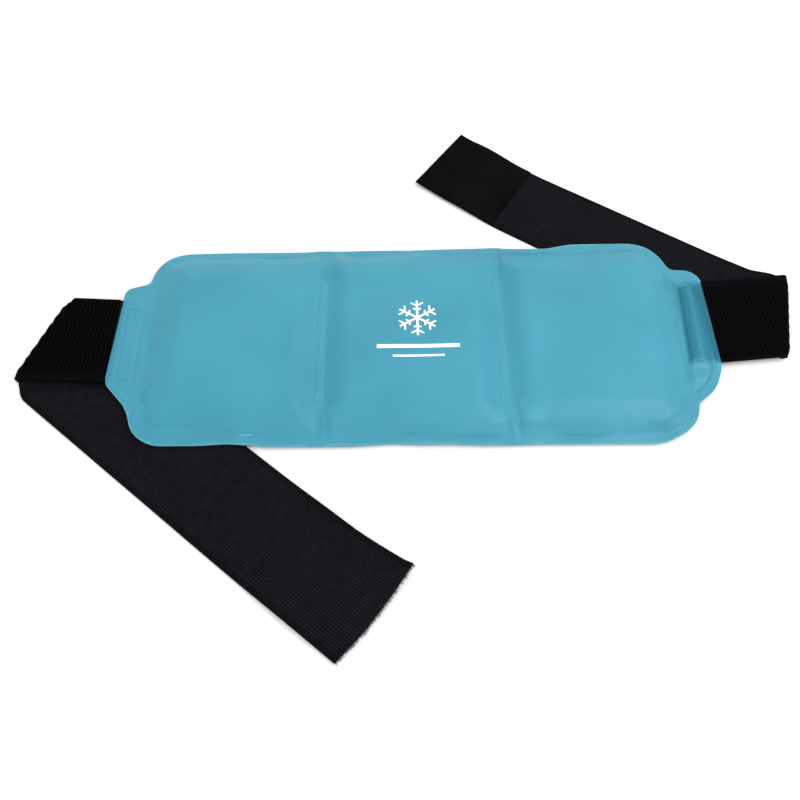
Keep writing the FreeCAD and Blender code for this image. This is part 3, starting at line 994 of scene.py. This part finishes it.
class WRAP_OT_gel(bpy.types.Operator):
    """Gel filling of each chamber"""
    bl_idname = "wrap.gel"
    bl_label = "Gel"

    def execute(self, context):
        gap = context.scene.wrap_film.film / MM + 0.12
        gel = finish_named("cold gel", gel_finish)

        def middle(x, y):
            return (front_height(x, y) + back_height(x, y)) / 2

        def upper(x, y):
            return np.maximum(front_height(x, y) - gap, middle(x, y) + 0.05)

        def lower(x, y):
            return np.minimum(back_height(x, y) + gap, middle(x, y) - 0.05)

        for part, (low, high) in spans(6.0, 133.0).items():
            line = rounded([(low, -54, 11), (high, -54, 11), (high, 54, 11), (low, 54, 11)])
            piece = closed_pad(f"{part}_gel_fill", line, upper, lower, 2.4)
            finish_with(piece, gel, f"{part}_gel")
            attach(piece, f"{part}_panel")
        return {"FINISHED"}


class WRAP_OT_seams(bpy.types.Operator):
    """Welded fold between two chambers, with its three fine raised lines and a dot at each end, painted with
    a highlight
    """
    bl_idname = "wrap.seams"
    bl_label = "Seams"

    def execute(self, context):
        shine = film_material(context.scene.wrap_film)
        for side in SIDES:
            centre, outward = SEAM[side], SIGN[side] * SEAM_HALF * 0.9
            strip = cut_line(OUTLINE, centre - SEAM_HALF, centre + SEAM_HALF)
            near, far = strip[:, 1].min(), strip[:, 1].max()
            rows = np.unique([*np.arange(near, far, 1.0), far])
            columns = np.linspace(-SEAM_HALF, SEAM_HALF, 57)
            marks = partial(self.marks, side)

            def over(s, v):
                lines, dot = marks(s, v)
                return front_height(centre + v, s) + 0.18 * lines + 0.6 * dot

            def under(s, v):
                return back_height(centre + v, s)

            # painted highlight on the seam's raised lines and the dots at their ends
            def painted_line_highlight(s, v):
                lines, dot = marks(s, v)
                return np.maximum(0.7 * lines, 0.95 * dot)

            piece = band(f"{side}_seam", rows, columns, lambda sigma, v: sigma,
                         lambda s, v, h: np.stack([centre + v, s, h], -1), over, under, painted_line_highlight)
            # the seam's highlight mask goes into the film's painted-highlight attribute
            piece.data.attributes["crest"].name = "edge"
            finish_with(piece, shine, f"{side}_seam_weld")
            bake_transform(piece)
        return {"FINISHED"}

    @staticmethod
    def marks(side, s, v):
        """The raised lines of a seam and the dots at their ends, each from 0 to 1."""
        off = SEAM[side] + v - seam_middle(side, s)
        ends_in = ease(BEAD_HALF + 0.8, BEAD_HALF - 0.4, np.abs(s))
        lines = sum(bump(off - at, 0.32) for at in SEAM_LINES) * ends_in
        return lines, bump(np.hypot(off + 1.4, np.abs(s) - BEAD_HALF - 0.4), 0.8)


class WRAP_OT_tab_welds(bpy.types.Operator):
    """Fine welded line round each strap's end"""
    bl_idname = "wrap.tab_welds"
    bl_label = "Tab welds"

    def execute(self, context):
        line = film_material(context.scene.wrap_film, "weld line", 0.82)
        rails = [(-0.26, -0.25), (-0.20, 0.02), (0.0, 0.05), (0.20, 0.02), (0.26, -0.25)]
        for side in SIDES:
            ring = spaced(rounded([(x, y, 1.0) for x, y in WINDOW[side]], 0.5), 0.8)
            ahead = np.roll(ring, -1, axis=0) - np.roll(ring, 1, axis=0)
            outward = np.column_stack([ahead[:, 1], -ahead[:, 0]])
            outward /= np.linalg.norm(outward, axis=1)[:, None]
            points = []
            for reach, rise in rails:
                at = ring + outward * reach
                points.append(np.column_stack([at, front_height(at[:, 0], at[:, 1]) + rise]))
            index = np.arange(len(ring) * len(rails)).reshape(len(rails), len(ring))
            corners = [index, np.roll(index, -1, 1), np.roll(index, (-1, -1), (0, 1)), np.roll(index, -1, 0)]
            quads = np.stack(corners, -1).reshape(-1, 4).tolist()
            piece = new_mesh(f"{side}_tab_weld_line", np.concatenate(points), quads)
            closed_up(piece, 70, doubles=True)
            finish_with(piece, line, f"{side}_tab_weld")
            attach(piece, f"{side}_panel")
        return {"FINISHED"}


class WRAP_OT_straps(bpy.types.Operator):
    """Two elastic straps, each folded flat beside its tab"""
    bl_idname = "wrap.straps"
    bl_label = "Straps"

    def execute(self, context):
        settings = context.scene.wrap_strap
        elastic = elastic_material(settings)
        half, wale, gauge = settings.width / MM / 2, settings.wale / MM, STRAP_GAUGE / 2
        ends = {"left": settings.left_free / MM, "right": settings.right_free / MM}

        def ribs(s, v):
            return rib_share(v, wale, half)

        def plain(s, v):
            return gauge * rounded_edge(v, half)

        def ribbed(s, v):
            return plain(s, v) + 0.22 * (ribs(s, v) - 0.6)

        for side in SIDES:
            rows = np.concatenate([np.arange(-TAIL[side], -14, 3.0), np.arange(-14, -5, 1.0),
                                   np.arange(-5, 6, 0.4), np.linspace(6.0, self.lap(side), 4)])
            run = band(f"{side}_strap_bend", rows, np.linspace(-half, half, 181), partial(bent_rows, side),
                       partial(bent, side), plain, lambda s, v: -ribbed(s, v), ribs)
            finish_with(run, elastic, f"{side}_strap_run")
            bend_at_fold(run)

            last = ends[side]
            start = LAP / abs(ray(FOLDS[side][2]) @ ray(FOLDS[side][3]))
            rows = np.concatenate([np.arange(start, 34, 3.0), np.arange(34, last - 20, 4.0),
                                   np.linspace(last - 19, last, 12)])
            free = band(f"{side}_strap_length", rows, np.linspace(-half, half, 261), partial(free_rows, side),
                        partial(laid, side), ribbed, lambda s, v: -plain(s, v), ribs)
            finish_with(free, elastic, f"{side}_strap_free")
            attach(free, f"{side}_strap")
        return {"FINISHED"}

    @staticmethod
    def lap(side):
        """Where the bent piece ends, along the unfolded strap."""
        _, run, _, normal = FOLDS[side]
        return (LAP + 0.3 - 2 * BEND + math.pi * BEND) / (ray(run) @ ray(normal))


class WRAP_OT_tapes(bpy.types.Operator):
    """Hook tape on the upper face of each short run"""
    bl_idname = "wrap.tapes"
    bl_label = "Hook tapes"

    def execute(self, context):
        settings = context.scene.wrap_strap
        hooks = finish_named("hook tape", hook_finish, settings.tape_colour)
        half, pitch, gauge = settings.width / MM / 2, settings.row / MM, STRAP_GAUGE / 2

        def under(s, v):
            return gauge * rounded_edge(v, half) - 0.05

        for side, seed in (("left", 2), ("right", 9)):
            crest_of = partial(self.crest, half=half, pitch=pitch, seed=seed)

            def over(s, v):
                return gauge + 0.32 + 0.48 * crest_of(s, v) - 0.3 * (1 - rounded_edge(v, half))

            def lean(sigma, v):
                return bent_rows(side, sigma, v) - drawn_back(side, v) * ease(-9, 0, sigma)

            rows, columns = np.arange(-TAPE[side], 0.6, 0.36), np.linspace(-half, half, 121)
            piece = band(f"{side}_hooks", rows, columns, lean, partial(bent, side), over, under, crest_of)
            finish_with(piece, hooks, f"{side}_hook_tape")
            bend_at_fold(piece)
        return {"FINISHED"}

    @staticmethod
    def crest(s, v, half, pitch, seed):
        """Rows of hooks across the tape, a little wavy, with a plain edge on both sides."""
        sway = 0.34 * unevenness(s * 0.6, v, 13, seed) + 0.12 * unevenness(s, v, 4, seed + 1)
        row = 0.5 + 0.5 * np.cos(2 * math.pi * (s + sway) / pitch)
        knot = 0.72 + 0.28 * np.cos(2 * math.pi * v / 1.25 + 2.2 * np.round(s / pitch))
        hooked = ease(half - 3.6, half - 4.6, v) * ease(half - 1.4, half - 2.2, -v)
        return row ** 1.8 * knot * hooked + 0.50 * (1 - hooked)


class WRAP_OT_patch(bpy.types.Operator):
    """Loop pile at the end of the right strap"""
    bl_idname = "wrap.patch"
    bl_label = "Loop patch"

    def execute(self, context):
        settings = context.scene.wrap_strap
        pile = elastic_material(settings, "loop pile", 1.25)
        half, last, gauge = settings.width / MM / 2, settings.right_free / MM, STRAP_GAUGE / 2
        first = last - PATCH

        def over(s, v):
            near = np.minimum(half - np.abs(v), np.minimum(last - s, s - first))
            body = 0.72 * np.sqrt(1 - (1 - np.clip(near / 1.2, 0, 1)) ** 2)
            return gauge + 0.08 + body + 0.05 * unevenness(s, v, 2.4, 21) * np.clip(near / 2, 0, 1)

        def under(s, v):
            return gauge * rounded_edge(v, half) - 0.2

        rows, columns = np.linspace(first, last, 84), np.linspace(-half + 0.4, half - 0.4, 84)
        piece = band("right_loop_pile", rows, columns, lambda sigma, v: sigma, partial(laid, "right"),
                     over, under)
        finish_with(piece, pile, "right_loop_patch")
        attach(piece, "right_strap")
        return {"FINISHED"}


class WRAP_OT_fray(bpy.types.Operator):
    """Loose threads at the raw end of the left strap"""
    bl_idname = "wrap.fray"
    bl_label = "Frayed end"

    def execute(self, context):
        settings = context.scene.wrap_strap
        thread = elastic_material(settings, "frayed yarn", 2.2)
        half, last = settings.width / MM / 2, settings.left_free / MM
        draw = np.random.default_rng(17)
        points, quads = [], []
        for v in np.linspace(-half + 0.4, half - 0.4, 150):
            first = len(points)
            length, lean, rise = draw.uniform(0.5, 1.7), draw.uniform(-0.5, 0.5), draw.uniform(-0.3, 0.4)
            base = draw.uniform(-0.3, 0.3)
            for share in (-0.5, 0.3, 0.7, 1.0):
                s, across = last + share * length, v + lean * share ** 2
                size = 0.19 * (1 - 0.5 * max(share, 0))
                for a in (0.0, 2.1, 4.2):
                    points.append(laid("left", np.array(s), np.array(across + size * math.cos(a)),
                                       np.array(base + rise * share ** 2 + size * math.sin(a))))
            for ring in range(first, first + 9, 3):
                for a, b in ((ring, ring + 1), (ring + 1, ring + 2), (ring + 2, ring)):
                    quads.append((a, b, b + 3, a + 3))
            quads += [(first + 2, first + 1, first), (first + 9, first + 10, first + 11)]
        piece = closed_up(new_mesh("left_strap_threads", np.array(points), quads), 80, doubles=True)
        piece.data.uv_layers.new(name="lay")
        finish_with(piece, thread)
        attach(piece, "left_strap")
        return {"FINISHED"}


class WRAP_OT_print(bpy.types.Operator):
    """Printed sign on the middle chamber: a frost star over two plain lines"""
    bl_idname = "wrap.print"
    bl_label = "Print"

    def execute(self, context):
        ink = finish_named("white print", print_finish, context.scene.wrap_film.print_colour)
        points, star = [], np.array([3.5, 9.0])

        def stroke(start, end, width):
            start, end = np.array(start, float), np.array(end, float)
            side = turned_left(end - start) / np.linalg.norm(end - start) * width / 2
            for corner in (start - side, end - side, end + side, start + side):
                points.append(Vector(map(float, corner)))

        for angle in range(90, 450, 60):
            arm = ray(angle)
            stroke(star, star + arm * 10.5, 1.15)
            for fork in (4.6, 7.4):
                for lean in (-60, 60):
                    stroke(star + arm * fork, star + arm * fork + ray(angle + lean) * (fork * 0.5), 0.95)
        stroke((-17.5, -8.0), (24.5, -8.0), 2.2)
        stroke((-9.5, -13.6), (16.5, -13.6), 1.2)
        faces = np.arange(len(points)).reshape(-1, 4).tolist()
        verts, _, tris, *_ = delaunay_2d_cdt(points, [], faces, 1, 1e-4)
        piece = new_mesh("frost_sign", [(v.x, v.y, 0.0) for v in verts], tris)
        pick(piece)
        bpy.ops.object.mode_set(mode="EDIT")
        bpy.ops.mesh.select_all(action="SELECT")
        bpy.ops.mesh.subdivide(number_cuts=3)
        bpy.ops.object.mode_set(mode="OBJECT")
        spots = np.zeros(len(piece.data.vertices) * 3, np.float32)
        piece.data.vertices.foreach_get("co", spots)
        spots = spots.reshape(-1, 3)
        spots[:, 2] = (front_height(spots[:, 0] / MM, spots[:, 1] / MM) + 0.09) * MM
        piece.data.vertices.foreach_set("co", spots.ravel())
        thickened(piece, "ink", 0.06)
        finish_with(piece, ink)
        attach(piece, "middle_panel")
        return {"FINISHED"}


class WRAP_OT_stage(bpy.types.Operator):
    """Floor, lights and camera"""
    bl_idname = "wrap.stage"
    bl_label = "Stage"

    def execute(self, context):
        scene, settings = context.scene, context.scene.wrap_stage
        clear_selection()
        bpy.ops.mesh.primitive_plane_add(size=6.0, location=(0, 0, 0))
        floor = context.object
        floor.name = "studio_floor"
        floor.data.materials.append(floor_finish(settings.floor_colour))

        scene.world = bpy.data.worlds.new("studio")
        scene.world.use_nodes = True
        sky = scene.world.node_tree.nodes["Background"].inputs
        sky[0].default_value = (1.0, 1.0, 1.0, 1.0)
        sky[1].default_value = 0.92
        for name, place, size, power in (
                ("key", (0.62, -0.10, 0.85), (0.8, 0.8), 4.9),
                ("front", (-0.15, -1.1, 0.8), (1.0, 0.8), 1.8),
                ("back", (0.0, 1.1, 0.9), (1.4, 0.6), 2.5)):
            light = bpy.data.lights.new(name, "AREA")
            light.shape, light.energy = "RECTANGLE", power
            light.size, light.size_y = size
            holder = bpy.data.objects.new(name, light)
            holder.location = place
            holder.rotation_euler = (-Vector(place)).to_track_quat("-Z", "Y").to_euler()
            scene.collection.objects.link(holder)

        camera = bpy.data.cameras.new("camera")
        camera.lens, camera.sensor_width, camera.clip_start = settings.lens, 36.0, 0.01
        eye = bpy.data.objects.new("camera", camera)
        eye.location = (-0.0094, -0.1880, settings.height)
        eye.rotation_euler = (math.pi / 2 - settings.pitch, 0, math.radians(-1.15))
        scene.collection.objects.link(eye)
        scene.camera = eye
        scene.view_settings.view_transform = "Standard"
        scene.view_settings.look = "None"
        return {"FINISHED"}


class WRAP_PT_panel(bpy.types.Panel):
    """The wrap's pieces and their sizes"""
    bl_label = "Cold Compression Wrap"
    bl_idname = "WRAP_PT_panel"
    bl_space_type = "VIEW_3D"
    bl_region_type = "UI"
    bl_category = "Wrap"

    def draw(self, context):
        layout = self.layout
        for settings in (context.scene.wrap_film, context.scene.wrap_strap, context.scene.wrap_stage):
            box = layout.box()
            for name in settings.__annotations__:
                box.prop(settings, name)
        for operator in OPERATORS:
            layout.operator(operator.bl_idname)


OPERATORS = (
    WRAP_OT_films, WRAP_OT_gel, WRAP_OT_seams, WRAP_OT_tab_welds, WRAP_OT_straps, WRAP_OT_tapes,
    WRAP_OT_patch, WRAP_OT_fray, WRAP_OT_print, WRAP_OT_stage,
)
CLASSES = (WrapFilmSettings, WrapStrapSettings, WrapStageSettings, *OPERATORS, WRAP_PT_panel)


def register():
    for item in CLASSES:
        bpy.utils.register_class(item)
    bpy.types.Scene.wrap_film = bpy.props.PointerProperty(type=WrapFilmSettings)
    bpy.types.Scene.wrap_strap = bpy.props.PointerProperty(type=WrapStrapSettings)
    bpy.types.Scene.wrap_stage = bpy.props.PointerProperty(type=WrapStageSettings)


def unregister():
    for name in ("wrap_film", "wrap_strap", "wrap_stage"):
        delattr(bpy.types.Scene, name)
    for item in reversed(CLASSES):
        bpy.utils.unregister_class(item)


def main():
    register()
    for operator in OPERATORS:
        group, name = operator.bl_idname.split(".")
        getattr(getattr(bpy.ops, group), name)()


if __name__ == "__main__":
    main()
